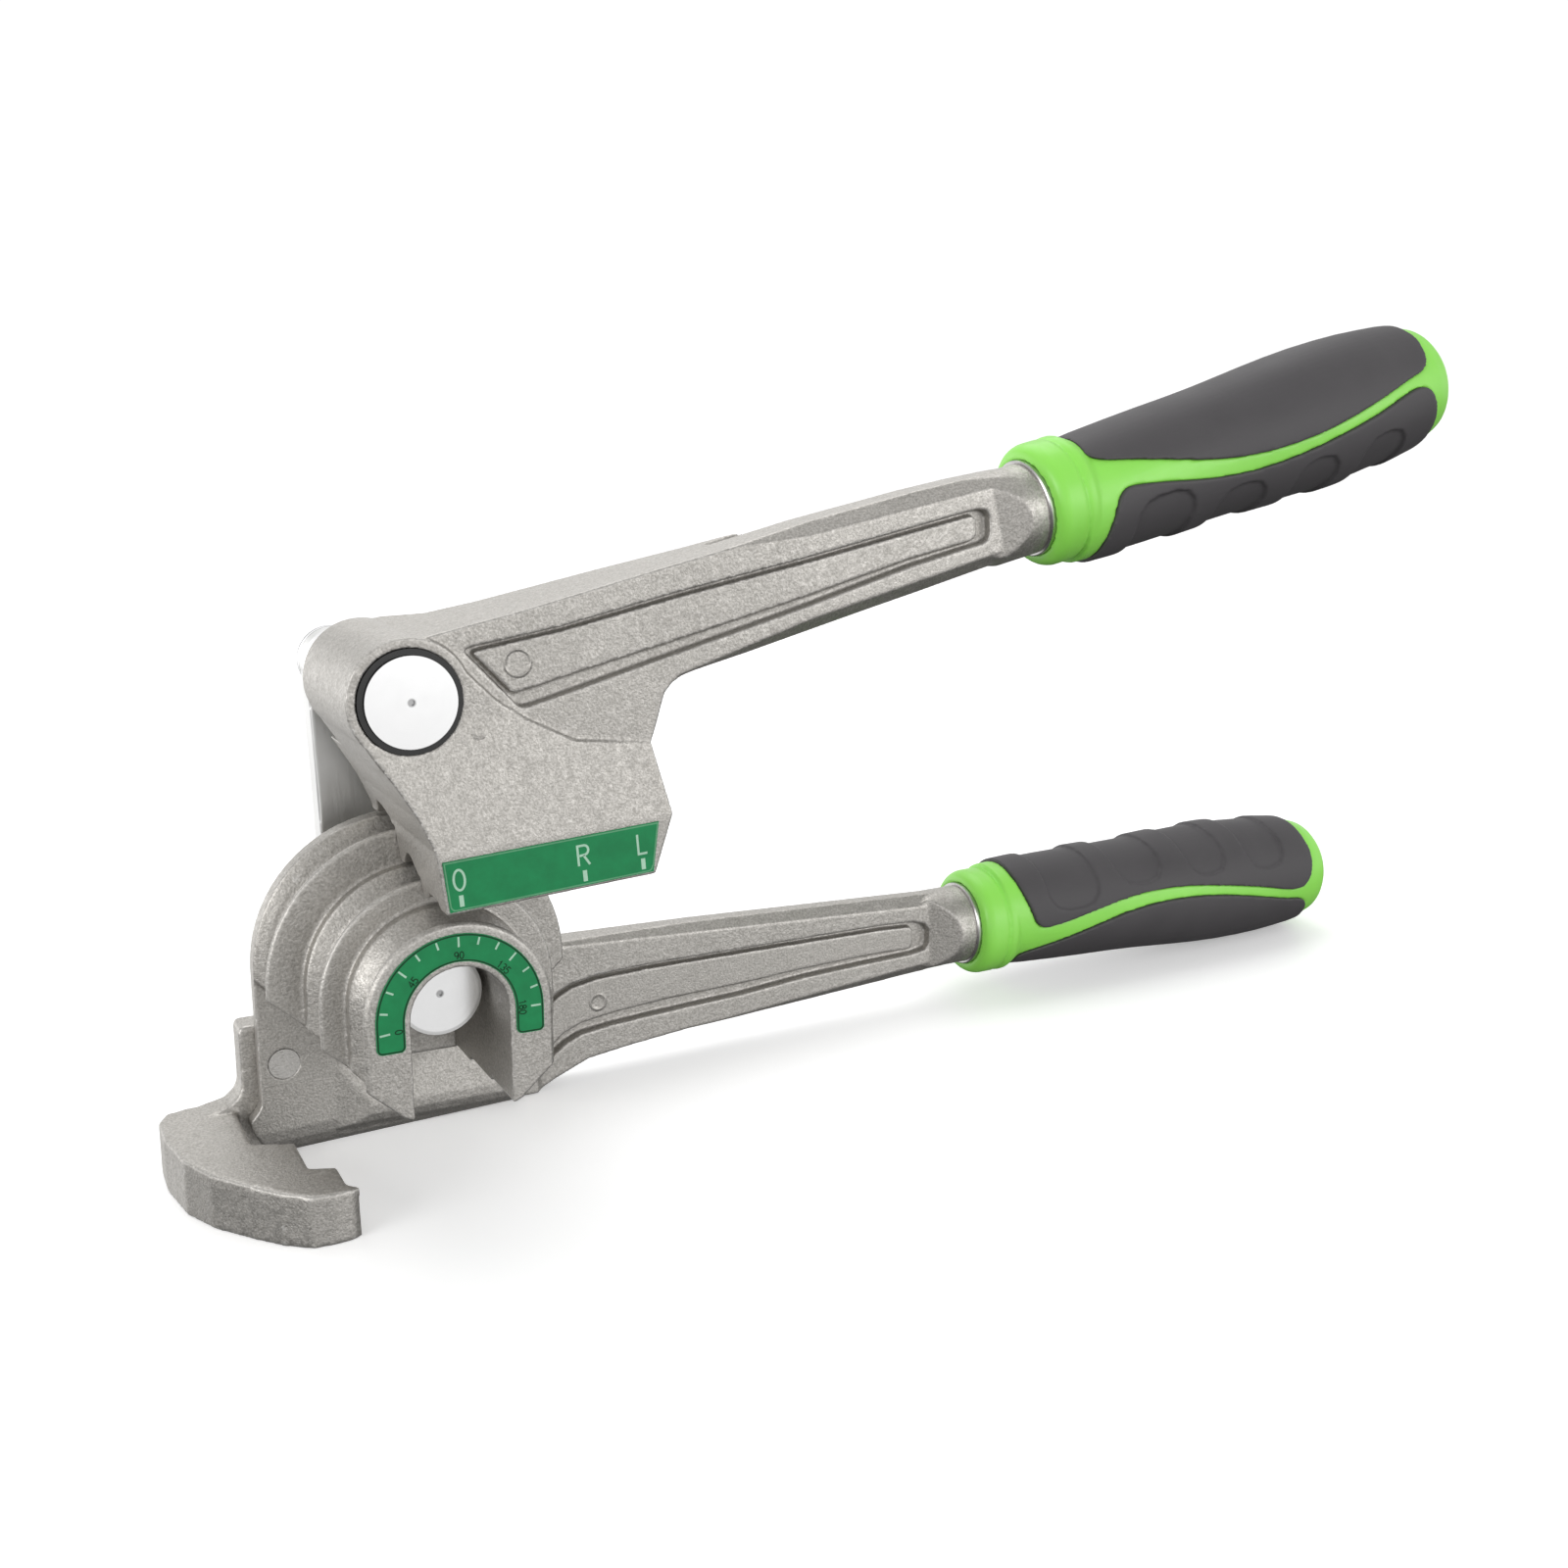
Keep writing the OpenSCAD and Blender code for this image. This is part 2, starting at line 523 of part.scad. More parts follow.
module tube_hook() color("darkgray") placed() difference() {
    union() {
        translate([0, 0, -60]) linear_extrude(60 - hook_top) hook_plan();
        slab(y_hook, y_hook + hook_leg_t) {
            polygon([[hook_x - hook_eye_r + 0.8, hook_z + 8.7], [hook_x - hook_eye_r, hook_z + 7.8],
                [hook_x - hook_eye_r, -28], [hook_x - hook_eye_r - 0.8, -30.2], [-40.4, -32.3],
                [-46, -hook_top - e], [-46, -38], [-24.5, -38], [hook_x + hook_eye_r - 1.6, -28],
                [hook_x + hook_eye_r, hook_z], [hook_x + hook_eye_r - 1.6, hook_z + 5.4],
                [hook_x + hook_eye_r - 5, hook_z + 8.7]]);
        }
    }
    rod(hook_x, hook_z, hook_pin_r + pin_clearance, y_plate, y_hub + 2);
    rotate([0, -lean, 0]) translate([-150, -50, -axis_height - 40]) cube([300, 200, 40]);
}

module hook_pin() color("lightgray") placed() difference() {
    rod(hook_x, hook_z, hook_pin_r, y_plate + 0.1, y_hub - 0.1);
    tube(hook_x, hook_z, hook_pin_r + 1, hook_pin_r - 0.6, y_hub - 1.2, y_hub - 0.3);
}

module hook_retainer() color("dimgray") placed() tube(hook_x, hook_z, hook_pin_r + 2.2, hook_pin_r - 0.6,
    y_hub - 1.2, y_hub - 0.3);

module link() color("gainsboro") placed() difference() {
    union() {
        rod(0, 0, link_big_r, y_link, y_link_back);
        rod(pin_x, pin_z, link_small_r, y_link, y_link_back);
        slab(y_link, y_link_back) polygon([[-link_big_r * 0.98, 1], [pin_x - link_small_r * 0.97, pin_z - 1],
            [pin_x + link_small_r * 0.97, pin_z - 1], [link_big_r * 0.98, 1]]);
    }
    rod(0, 0, pin_r + pin_clearance, y_link - 1, y_link_back + 1);
    rod(pin_x, pin_z, pin_r, y_link - 1, y_link_back + 1);
}

// A headed pin with a groove for its retaining ring
module headed_pin(x, z, head_r, y_head, head_t, y_ring) difference() {
    union() {
        rod(x, z, head_r, y_head, y_head + head_t);
        rod(x, z, pin_r, y_head + head_t - e, y_ring + 3);
    }
    tube(x, z, pin_r + 2, pin_r - 0.8, y_ring, y_ring + 1.2);
    rod(x, z, 0.6, y_head - 1, y_head + 0.5);
}

module mandrel_pin() color("white") placed()
    headed_pin(0, 0, mandrel_head_r, mandrel_head_y, 4, y_link_back + face_gap + 1.4);

module mandrel_washer() color("lightgray") placed()
    tube(0, 0, 10, pin_r, y_link_back + face_gap, y_link_back + face_gap + 1.4);

module mandrel_retainer() color("dimgray") placed()
    tube(0, 0, pin_r + 2.6, pin_r - 0.8, y_link_back + face_gap + 1.4, y_link_back + face_gap + 2.6);

module forming_pin() color("white") placed()
    headed_pin(pin_x, pin_z, forming_head_r, -1.4, 4, y_link_back + 1.4);

module forming_pin_ring() color("black") placed()
    tube(pin_x, pin_z, ring_r - 0.05, forming_head_r + 0.08, -0.5, 2.6);

module link_spacer() color("gray") placed()
    tube(pin_x, pin_z, 8.5, pin_r, boss_depth + face_gap, y_link);

module forming_washer() color("lightgray") placed()
    tube(pin_x, pin_z, 8, pin_r, y_link_back, y_link_back + 1.4);

module forming_retainer() color("dimgray") placed()
    tube(pin_x, pin_z, pin_r + 1.9, pin_r - 0.8, y_link_back + 1.4, y_link_back + 2.6);

module forming_handle() color("silver") placed() difference() {
    union() {
        rod(pin_x, pin_z, boss_r, 0, boss_depth);
        slab(0, 9) crease_outline();
        difference() {
            slab(-shoe_front, y_plate_back - 0.7) shoe_outline();
            // the front wall leans back above the scale
            shoe_frame() translate([-40, -shoe_front, shoe_front_r + 12.4])
                rotate([-6.4, 0, 0])
                translate([0, -20, 0])
                cube([140, 20, 60]);
            // rear corner above the shoe, behind the arm
            slab(boss_depth + e, y_plate_back + 1) polygon([[-30, 80], [-30, 53], [-12, 52], [60, 52], [60, 80]]);
            shoe_frame() {
                translate([-30, y_wall_1 - 0.4, -1]) cube([120, 60, middle_lip_r + shoe_gap + 1]);
                translate([-30, y_wall_2 - 0.4, -1]) cube([120, 60, large_lip_r + shoe_gap + 1]);
            }
            shoe_groove(small_bend_r, small_tube_d, small_y, 1, shoe_front_r);
            shoe_groove(middle_bend_r, middle_tube_d, middle_y, 0.8, middle_lip_r + shoe_gap);
            shoe_groove(large_bend_r, large_tube_d, large_y, 0.6, large_lip_r + shoe_gap);
            shoe_frame() translate([8, 20, large_bend_r + large_tube_d / 2 + 3]) cube([30, 60, 9]);
        }
        difference() {
            intersection() {
                slab(-8, 50) upper_arm_outline();
                translate([0, 0, 40]) linear_extrude(90) upper_arm_plan();
            }
            edge_cut([36, 91.4], [137, 111.8], upper_y - arm_t / 2, 3);
            edge_cut([52, 68.7], [138, 91.3], upper_y - arm_t / 2, 3);
            edge_cut([64, 97.1], [137, 111.8], upper_y + arm_t / 2, 3);
            edge_cut([64, 71.9], [138, 91.3], upper_y + arm_t / 2, 3);
            at_upper_grip() arm_end_trim();
        }
        at_upper_grip() neck_shape(arm_t / 2, arm_t / 2);
    }
    intersection() {
        slab(-10, 12) upper_panel_outline();
        translate([0, 0, 40]) linear_extrude(80) upper_face_plan(field_drop);
    }
    intersection() {
        slab(-10, 12) difference() {
            upper_panel_outline();
            upper_field_outline();
        }
        translate([0, 0, 40]) linear_extrude(80) upper_face_plan(panel_depth);
    }
    slab(upper_y + arm_t / 2 - panel_depth, arm_t + 30) intersection() {
        upper_panel_outline();
        translate([60, 60]) square([120, 60]);
    }
    rod(pin_x, pin_z, pin_r + pin_clearance, -5, boss_depth + 1);
    rod(pin_x, pin_z, ring_r, -5, 2.6);
}

module shoe_scale() color("seagreen") placed() slab(-shoe_front - 0.35, -shoe_front)
    polygon([shoe_point(-0.4, shoe_front_r + 0.7), shoe_point(shoe_length - 2.6, shoe_front_r + 0.7),
        shoe_point(shoe_length - 0.4, shoe_front_r + scale_h), shoe_point(-0.8, shoe_front_r + scale_h)]);

module upper_grip_core() color("limegreen") placed() at_upper_grip() grip_core_shape();
module upper_palm_pad() color("dimgray") placed() at_upper_grip() palm_pad_shape();
module upper_finger_pad() color("dimgray") placed() at_upper_grip() finger_pad_shape();
module upper_ferrule() color("lightgray") placed() at_upper_grip() ferrule_shape();
module lower_grip_core() color("limegreen") placed() at_lower_grip() grip_core_shape();
module lower_palm_pad() color("dimgray") placed() at_lower_grip() palm_pad_shape();
module lower_finger_pad() color("dimgray") placed() at_lower_grip() finger_pad_shape();
module lower_ferrule() color("lightgray") placed() at_lower_grip() ferrule_shape();

mandrel_body();
angle_scale();
tube_hook();
hook_pin();
hook_retainer();
link();
mandrel_pin();
mandrel_washer();
mandrel_retainer();
forming_handle();
shoe_scale();
forming_pin();
forming_pin_ring();
link_spacer();
forming_washer();
forming_retainer();
upper_grip_core();
upper_palm_pad();
upper_finger_pad();
upper_ferrule();
lower_grip_core();
lower_palm_pad();
lower_finger_pad();
lower_ferrule();
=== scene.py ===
import math
import bmesh
import bpy
from mathutils import Matrix, Vector


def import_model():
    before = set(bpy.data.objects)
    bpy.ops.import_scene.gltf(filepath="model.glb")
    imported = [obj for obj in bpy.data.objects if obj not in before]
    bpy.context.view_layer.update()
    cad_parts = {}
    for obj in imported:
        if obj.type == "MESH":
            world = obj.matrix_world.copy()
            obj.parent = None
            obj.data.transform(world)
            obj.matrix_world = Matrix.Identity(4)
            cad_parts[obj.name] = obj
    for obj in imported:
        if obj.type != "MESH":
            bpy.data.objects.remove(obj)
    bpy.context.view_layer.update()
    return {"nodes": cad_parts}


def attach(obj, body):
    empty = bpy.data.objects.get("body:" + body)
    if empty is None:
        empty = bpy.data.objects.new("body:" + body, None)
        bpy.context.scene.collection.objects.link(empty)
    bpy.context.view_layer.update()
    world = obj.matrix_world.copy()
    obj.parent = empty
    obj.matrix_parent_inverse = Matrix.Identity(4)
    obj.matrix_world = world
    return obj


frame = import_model()
nodes = frame["nodes"]
scene = bpy.context.scene

MM = 0.001

# The tool's own frame: X and Z lie in the front face of the mandrel, with its axis at 0, and Y runs to
# the back
LEAN = math.radians(2.56)
SHIFT = Vector((-112.963, -30.15, 43.56))


def world(x, y, z):
    """A point of the tool's own frame in mm, as metres in the frame of the floor."""
    c, s = math.cos(LEAN), math.sin(LEAN)
    return Vector((c * x + s * z + SHIFT.x, y + SHIFT.y, -s * x + c * z + SHIFT.z)) * MM


# Camera, in metres on the floor's frame
CAMERA_AT = Vector((-0.2001, -0.3638, 0.1688))
CAMERA_RIGHT = Vector((0.8922, -0.4498, -0.0403))
CAMERA_UP = Vector((0.1370, 0.1846, 0.9733))
CAMERA_BACK = Vector((-0.4303, -0.8738, 0.2263))
SENSOR_WIDTH, LENS = 36, 39.375


def set_camera():
    camera = bpy.data.objects.new("camera", bpy.data.cameras.new("camera"))
    scene.collection.objects.link(camera)
    axes = [v.normalized() for v in (CAMERA_RIGHT, CAMERA_UP, CAMERA_BACK)]
    pose = Matrix(axes).transposed().to_4x4()
    pose.translation = CAMERA_AT
    camera.matrix_world = pose
    camera.data.sensor_fit = "HORIZONTAL"
    camera.data.sensor_width = SENSOR_WIDTH
    camera.data.lens = LENS
    camera.data.clip_start = 0.01
    camera.data.clip_end = 20
    scene.camera = camera


set_camera()


# Helpers for material nodes. t is a node tree, and lengths are in metres.
def new_material(name):
    m = bpy.data.materials.new(name)
    m.use_nodes = True
    t = m.node_tree
    t.nodes.clear()
    out = t.nodes.new("ShaderNodeOutputMaterial")
    bsdf = t.nodes.new("ShaderNodeBsdfPrincipled")
    t.links.new(bsdf.outputs["BSDF"], out.inputs["Surface"])
    return m, t, bsdf


def coords(t):
    return t.nodes.new("ShaderNodeTexCoord").outputs["Object"]


def noise(t, scale, detail=2.0, rough=0.5, where=None):
    n = t.nodes.new("ShaderNodeTexNoise")
    for k, v in (("Scale", scale), ("Detail", detail), ("Roughness", rough)):
        n.inputs[k].default_value = v
    t.links.new(where or coords(t), n.inputs["Vector"])
    return n.outputs["Fac"]


def ramp(t, value, stops):
    """Grey levels between stops of (position, level)."""
    n = t.nodes.new("ShaderNodeValToRGB")
    e = n.color_ramp.elements
    while len(e) < len(stops):
        e.new(0.5)
    for i, (position, level) in enumerate(stops):
        e[i].position = position
        e[i].color = (level, level, level, 1)
    t.links.new(value, n.inputs["Fac"])
    return n.outputs["Color"]


def mix(t, fac, a, b):
    """Blend of two colours, each an RGB triple or a socket."""
    n = t.nodes.new("ShaderNodeMix")
    n.data_type = "RGBA"
    t.links.new(fac, n.inputs["Factor"])
    for sock, v in ((n.inputs[6], a), (n.inputs[7], b)):
        if isinstance(v, bpy.types.NodeSocket):
            t.links.new(v, sock)
        else:
            sock.default_value = (*v, 1)
    return n.outputs[2]


def math_node(t, op, a, b=0.0):
    n = t.nodes.new("ShaderNodeMath")
    n.operation = op
    for i, v in enumerate((a, b)):
        if isinstance(v, bpy.types.NodeSocket):
            t.links.new(v, n.inputs[i])
        else:
            n.inputs[i].default_value = v
    return n.outputs[0]


def vector_node(t, op, a, b=None):
    n = t.nodes.new("ShaderNodeVectorMath")
    n.operation = op
    t.links.new(a, n.inputs[0])
    if b is not None:
        n.inputs[1].default_value = b
    return n


def span(t, value, lo, hi, to_lo, to_hi, kind="LINEAR"):
    n = t.nodes.new("ShaderNodeMapRange")
    n.interpolation_type = kind
    t.links.new(value, n.inputs["Value"])
    for k, v in (("From Min", lo), ("From Max", hi), ("To Min", to_lo), ("To Max", to_hi)):
        n.inputs[k].default_value = v
    return n.outputs["Result"]


def bump(t, bsdf, layers):
    """Layers of (height, strength, distance in metres), the first one lowest."""
    last = None
    for height, strength, distance in layers:
        n = t.nodes.new("ShaderNodeBump")
        n.inputs["Strength"].default_value = strength
        n.inputs["Distance"].default_value = distance
        t.links.new(height, n.inputs["Height"])
        if last:
            t.links.new(last, n.inputs["Normal"])
        last = n.outputs["Normal"]
    t.links.new(last, bsdf.inputs["Normal"])


def ring_mark(t, centre, radius, width):
    """1 on a thin circle round a point, 0 elsewhere, as an ejector pin leaves it."""
    away = vector_node(t, "DISTANCE", coords(t), centre).outputs["Value"]
    off = math_node(t, "ABSOLUTE", math_node(t, "SUBTRACT", away, radius))
    return span(t, off, 0, width, 1, 0)


def casting(name, marks=()):
    """Sand-cast aluminium, blasted: a fine even grain, cloudy tone, convex edges lighter as wear and as a
    painted highlight, and hollows darker as painted shade.
    """
    skin_dark, skin_light = (0.325, 0.311, 0.287), (0.405, 0.389, 0.362)
    grain_tone, wear_and_highlight, crevice_shade = (0.57, 0.55, 0.52), (0.74, 0.73, 0.71), (0.13, 0.125, 0.12)
    mark_width = 0.0004
    m, t, b = new_material(name)
    grain = noise(t, 1900, 2.0, 0.6)
    coarse = noise(t, 620, 2.0, 0.55)
    cloud = noise(t, 38, 3.0, 0.6)
    tone = mix(t, cloud, skin_dark, skin_light)
    tone = mix(t, span(t, grain, 0.36, 0.68, 0.0, 0.85), tone, grain_tone)
    bend = t.nodes.new("ShaderNodeNewGeometry").outputs["Pointiness"]
    # Convex edges lighter: partly wear, partly a painted highlight
    edge = span(t, bend, 0.51, 0.57, 0.0, 0.8)
    tone = mix(t, math_node(t, "MULTIPLY", edge, coarse), tone, wear_and_highlight)
    # Hollows and creases darker: painted shade
    painted_crevice_shade = span(t, bend, 0.40, 0.49, 0.6, 0.0)
    tone = mix(t, painted_crevice_shade, tone, crevice_shade)
    t.links.new(tone, b.inputs["Base Color"])
    b.inputs["Metallic"].default_value = 0.85
    t.links.new(span(t, coarse, 0.3, 0.7, 0.40, 0.56), b.inputs["Roughness"])
    layers = [(grain, 0.8, 0.00012), (coarse, 0.5, 0.00020)]
    for centre, radius in marks:
        layers.append((ring_mark(t, centre, radius, mark_width), 0.7, 0.0003))
    bump(t, b, layers)
    return m


def turned_steel(name, centre, rim):
    """Bright steel, turned: fine rings round the pin's axis, painted shade in the small centre hole and,
    from 0.9 mm inside the radius rim (in mm), a grey ring of painted shade along the head's edge."""
    bright, worn, centre_hole_shade, edge_shade = (0.86, 0.86, 0.86), 0.93, (0.22, 0.22, 0.22), (0.40, 0.40, 0.39)
    rough = 0.2
    m, t, b = new_material(name)
    from_centre = vector_node(t, "SUBTRACT", coords(t), centre).outputs[0]
    across = vector_node(t, "MULTIPLY", from_centre, (1, 0, 1)).outputs[0]
    far = vector_node(t, "LENGTH", across).outputs["Value"]
    rings = t.nodes.new("ShaderNodeTexNoise")
    rings.noise_dimensions = "1D"
    rings.inputs["Scale"].default_value = 5200
    rings.inputs["Detail"].default_value = 2
    t.links.new(far, rings.inputs["W"])
    smear = noise(t, 210, 3, 0.6)
    tone = mix(t, smear, [c * worn for c in bright], bright)
    # Painted shade in the pin's centre hole
    tone = mix(t, span(t, far, 0.7 * MM, 1.0 * MM, 0.7, 0.0), tone, centre_hole_shade)
    # A grey ring of painted shade along the head's edge
    tone = mix(t, span(t, far, (rim - 0.9) * MM, (rim - 0.5) * MM, 0.0, 0.6), tone, edge_shade)
    t.links.new(tone, b.inputs["Base Color"])
    b.inputs["Metallic"].default_value = 1.0
    t.links.new(span(t, rings.outputs["Fac"], 0.3, 0.7, rough * 0.8, rough * 1.3), b.inputs["Roughness"])
    bump(t, b, [(rings.outputs["Fac"], 0.12, 0.00003), (smear, 0.06, 0.00005)])
    return m


def plated_steel():
    """Link bar: cut and plated steel with a long faint brushing."""
    m, t, b = new_material("plated_steel")
    stretch = t.nodes.new("ShaderNodeMapping")
    stretch.inputs["Scale"].default_value = (1, 1, 0.04)
    t.links.new(coords(t), stretch.inputs["Vector"])
    brush = noise(t, 2600, 2, 0.6, stretch.outputs["Vector"])
    stain = noise(t, 90, 3, 0.6)
    t.links.new(mix(t, stain, (0.66, 0.66, 0.65), (0.80, 0.80, 0.79)), b.inputs["Base Color"])
    b.inputs["Metallic"].default_value = 1.0
    t.links.new(span(t, brush, 0.3, 0.7, 0.28, 0.42), b.inputs["Roughness"])
    bump(t, b, [(brush, 0.12, 0.00003)])
    return m


def film(name, colour):
    """Printed film: smooth, a little orange peel, faint scuffs."""
    scuffed = 0.82
    m, t, b = new_material(name)
    scuff = noise(t, 260, 4, 0.65)
    dark = [c * scuffed for c in colour]
    t.links.new(mix(t, span(t, scuff, 0.35, 0.7, 0, 1), dark, colour), b.inputs["Base Color"])
    t.links.new(span(t, scuff, 0.35, 0.65, 0.34, 0.48), b.inputs["Roughness"])
    b.inputs["Specular IOR Level"].default_value = 0.2
    bump(t, b, [(noise(t, 900, 1), 0.05, 0.00005)])
    return m


def moulded_green():
    """Semi-gloss moulded plastic of the grips' core."""
    m, t, b = new_material("moulded_green")
    cloud = noise(t, 70, 2, 0.5)
    t.links.new(mix(t, cloud, (0.25, 0.70, 0.085), (0.30, 0.78, 0.11)), b.inputs["Base Color"])
    t.links.new(span(t, noise(t, 420, 3, 0.6), 0.3, 0.7, 0.32, 0.44), b.inputs["Roughness"])
    b.inputs["Subsurface Weight"].default_value = 0.06
    b.inputs["Subsurface Radius"].default_value = (0.001, 0.003, 0.0006)
    bump(t, b, [(noise(t, 1500, 2, 0.6), 0.07, 0.00005)])
    return m


def grip_rubber():
    """Soft moulded rubber: satin, with a fine leathery grain and lighter rubbed patches."""
    m, t, b = new_material("grip_rubber")
    grain = t.nodes.new("ShaderNodeTexVoronoi")
    grain.inputs["Scale"].default_value = 1500
    t.links.new(coords(t), grain.inputs["Vector"])
    cloud = noise(t, 55, 3, 0.55)
    t.links.new(mix(t, cloud, (0.054, 0.051, 0.054), (0.080, 0.076, 0.080)), b.inputs["Base Color"])
    t.links.new(span(t, cloud, 0.3, 0.7, 0.50, 0.62), b.inputs["Roughness"])
    b.inputs["Specular IOR Level"].default_value = 0.35
    bump(t, b, [(grain.outputs["Distance"], 0.16, 0.00006), (noise(t, 700, 2), 0.08, 0.0001)])
    return m


def plain(name, colour, rough, metallic=0.0):
    """A small part's finish: even colour, a slight change of gloss."""
    m, t, b = new_material(name)
    n = noise(t, 600, 3, 0.6)
    t.links.new(mix(t, n, [c * 0.85 for c in colour], colour), b.inputs["Base Color"])
    t.links.new(span(t, n, 0.3, 0.7, rough * 0.85, rough * 1.15), b.inputs["Roughness"])
    b.inputs["Metallic"].default_value = metallic
    bump(t, b, [(n, 0.05, 0.00004)])
    return m


# Where the pins' axes cross the front face, and the ejector marks as (point, radius in metres)
MANDREL_AXIS = world(0, 0, 0)
FORMING_AXIS = world(-7.7, 0, 66.8)
BASE_MARKS = [(world(50, 55.6, -21.3), 0.003)]
LEVER_MARKS = [(world(15.1, 0, 73), 0.003), (world(6, -3, 60), 0.0028)]
# The mandrel pin's head has a grey ring of painted shade along its edge, which the forming pin's head, 9.4
# mm in radius, hasn't
MANDREL_RIM, FORMING_RIM = 9.3, 10.2

cast_base = casting("casting_mandrel", BASE_MARKS)
cast_lever = casting("casting_lever", LEVER_MARKS)
cast_hook = casting("casting_hook")
steel_mandrel = turned_steel("steel_mandrel_pin", MANDREL_AXIS, MANDREL_RIM)
steel_forming = turned_steel("steel_forming_pin", FORMING_AXIS, FORMING_RIM)
steel_ring = plain("steel_ferrule", (0.62, 0.61, 0.60), 0.3, 1.0)
link_metal = plated_steel()
spring = plain("spring_steel", (0.20, 0.20, 0.21), 0.35, 1.0)
black_ring = plain("black_ring", (0.012, 0.012, 0.012), 0.28)
label = film("green_film", (0.014, 0.235, 0.082))
label_marks = film("label_marks", (0.42, 0.66, 0.50))
label_edge = film("label_edge", (0.12, 0.36, 0.19))
label_dark = film("label_dark", (0.004, 0.045, 0.016))
green = moulded_green()
rubber = grip_rubber()

finish = {
    "mandrel_body": cast_base, "forming_handle": cast_lever, "tube_hook": cast_hook,
    "mandrel_pin": steel_mandrel, "mandrel_washer": steel_mandrel, "forming_pin": steel_forming,
    "forming_washer": steel_forming, "link_spacer": steel_forming, "hook_pin": cast_base,
    "hook_retainer": spring, "mandrel_retainer": spring, "forming_retainer": spring,
    "forming_pin_ring": black_ring, "link": link_metal, "angle_scale": label, "shoe_scale": label,
}
for side in ("upper", "lower"):
    finish[side + "_grip_core"] = green
    finish[side + "_palm_pad"] = rubber
    finish[side + "_finger_pad"] = rubber
    finish[side + "_ferrule"] = steel_ring
for name, material in finish.items():
    data = nodes[name].data
    data.materials.clear()
    data.materials.append(material)


def soften(name, voxel, times, keep=1.0):
    """Rounds the edges of a solid as casting or moulding does. voxel is in mm, times is the number of
    smoothing steps, and keep is the share of faces that stays."""
    o = nodes[name]
    r = o.modifiers.new("rounding", "REMESH")
    r.mode = "VOXEL"
    r.voxel_size = voxel * MM
    r.use_smooth_shade = True
    s = o.modifiers.new("smoothing", "SMOOTH")
    s.factor = 0.5
    s.iterations = times
    if keep < 1:
        d = o.modifiers.new("fewer_faces", "DECIMATE")
        d.ratio = keep
    n = o.modifiers.new("normals", "WEIGHTED_NORMAL")
    n.weight = 50


soften("mandrel_body", 0.32, 5, 0.2)
soften("forming_handle", 0.32, 5, 0.2)
soften("tube_hook", 0.4, 14)
soften("link", 0.4, 3)
for side in ("upper", "lower"):
    soften(side + "_grip_core", 0.45, 3)
    soften(side + "_palm_pad", 0.4, 3)
    soften(side + "_finger_pad", 0.4, 3)


def piece(name, bm, material, body):
    """Makes a piece of a bmesh and lets it ride on a body."""
    bmesh.ops.recalc_face_normals(bm, faces=bm.faces)
    me = bpy.data.meshes.new(name)
    bm.to_mesh(me)
    bm.free()
    me.materials.append(material)
    o = bpy.data.objects.new(name, me)
    scene.collection.objects.link(o)
    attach(o, body)


def stroke(bm, points, width, y, closed=False, thick=0.04):
    """A raised stroke of even width through points (x, z), on a face that looks towards -Y."""
    n = len(points)
    pts = [Vector(p) for p in points]
    rows = []
    for i, p in enumerate(pts):
        a = pts[i - 1] if closed or i else None
        b = pts[(i + 1) % n] if closed or i < n - 1 else None
        d1 = (p - a).normalized() if a else (b - p).normalized()
        d2 = (b - p).normalized() if b else d1
        d = (d1 + d2).normalized()
        q = Vector((-d.y, d.x)) * width / 2 / max(d.dot(d1), 0.5)
        l, r = p + q, p - q
        section = ((l, 0), (l, thick), (r, thick), (r, 0))
        rows.append([bm.verts.new(world(u.x, y - h, u.y)) for u, h in section])
    pairs = list(zip(rows, rows[1:])) + ([(rows[-1], rows[0])] if closed else [])
    for a, b in pairs:
        for k in range(4):
            bm.faces.new((a[k], b[k], b[(k + 1) % 4], a[(k + 1) % 4]))
    if not closed:
        bm.faces.new(rows[0])
        bm.faces.new(rows[-1][::-1])


def arc(cx, cy, rx, ry, start, end, steps):
    """Points on an ellipse between two angles in degrees."""
    turns = [math.radians(start + (end - start) * i / steps) for i in range(steps + 1)]
    return [(cx + rx * math.cos(a), cy + ry * math.sin(a)) for a in turns]


# Strokes of each mark in a cell one unit high, with the baseline at 0
SHAPES = {
    "0": [arc(0, 0.5, 0.27, 0.5, 0, 345, 23)],
    "1": [[(-0.16, 0.78), (0.04, 1.0), (0.04, 0)]],
    "3": [arc(-0.02, 0.74, 0.25, 0.25, 150, -80, 12) + arc(-0.02, 0.25, 0.29, 0.25, 80, -150, 12)],
    "4": [[(0.14, 0), (0.14, 1.0), (-0.3, 0.32), (0.3, 0.32)]],
    "5": [[(0.24, 1.0), (-0.2, 1.0), (-0.24, 0.56)] + arc(-0.02, 0.3, 0.28, 0.3, 110, -145, 14)],
    "8": [arc(0, 0.75, 0.22, 0.25, 0, 345, 18), arc(0, 0.26, 0.28, 0.26, 0, 345, 18)],
    "9": [arc(0, 0.7, 0.26, 0.3, 0, 345, 18), [(0.26, 0.7), (0.22, 0.3), (0.04, 0)]],
    "R": [[(-0.27, 0), (-0.27, 1.0), (0.06, 1.0)] + arc(0.06, 0.76, 0.22, 0.24, 80, -80, 8) + [(-0.20, 0.5)],
          [(0.02, 0.5), (0.30, 0)]],
    "L": [[(-0.2, 1.0), (-0.2, 0), (0.26, 0)]],
}
# Which strokes of a mark close on themselves
CLOSED = {"0": (0,), "8": (0, 1), "9": (0,)}


